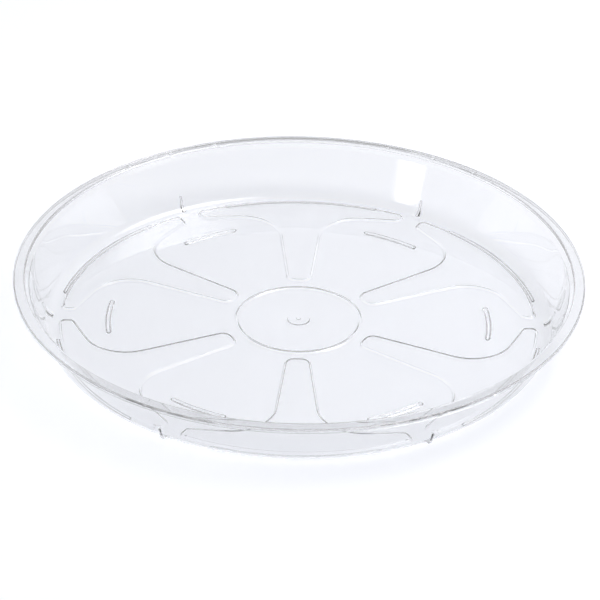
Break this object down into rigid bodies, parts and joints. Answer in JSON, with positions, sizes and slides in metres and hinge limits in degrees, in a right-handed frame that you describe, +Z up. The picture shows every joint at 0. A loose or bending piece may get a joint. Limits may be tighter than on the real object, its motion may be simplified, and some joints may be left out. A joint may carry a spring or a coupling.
{
  "type": "plant saucer",
  "caption": "Round clear plastic plant saucer with a leaning wall, an outward rim and raised T-shaped pot rests round a beaded centre; catches water under a plant pot.",
  "frame": {"origin": "middle of the saucer, on the surface that its feet stand on", "axes": "+Z up along the axis of the round saucer, +X along the axis of one petal of the floor"},
  "size_m": [0.25, 0.25, 0.0266],
  "materials": {
    "clear_plastic": "clear, colourless and glossy, as moulded"
  },
  "bodies": {
    "root": {"floor_plate": "clear_plastic", "centre_ring": "clear_plastic", "centre_disc": "clear_plastic", "gate_mark": "clear_plastic", "rounded_corner": "clear_plastic", "side_wall": "clear_plastic", "rim_flange": "clear_plastic", "pot_rest_1": "clear_plastic", "pot_rest_2": "clear_plastic", "pot_rest_3": "clear_plastic", "pot_rest_4": "clear_plastic", "pot_rest_5": "clear_plastic", "pot_rest_6": "clear_plastic", "edge_foot_1": "clear_plastic", "edge_foot_2": "clear_plastic", "edge_foot_3": "clear_plastic", "edge_foot_4": "clear_plastic", "edge_foot_5": "clear_plastic", "edge_foot_6": "clear_plastic", "petal_foot_1": "clear_plastic", "petal_foot_2": "clear_plastic", "petal_foot_3": "clear_plastic", "petal_foot_4": "clear_plastic", "petal_foot_5": "clear_plastic", "petal_foot_6": "clear_plastic", "stacking_rib_1": "clear_plastic", "stacking_rib_2": "clear_plastic", "stacking_rib_3": "clear_plastic", "stacking_rib_4": "clear_plastic", "stacking_rib_5": "clear_plastic", "stacking_rib_6": "clear_plastic"}
  },
  "joints": []
}
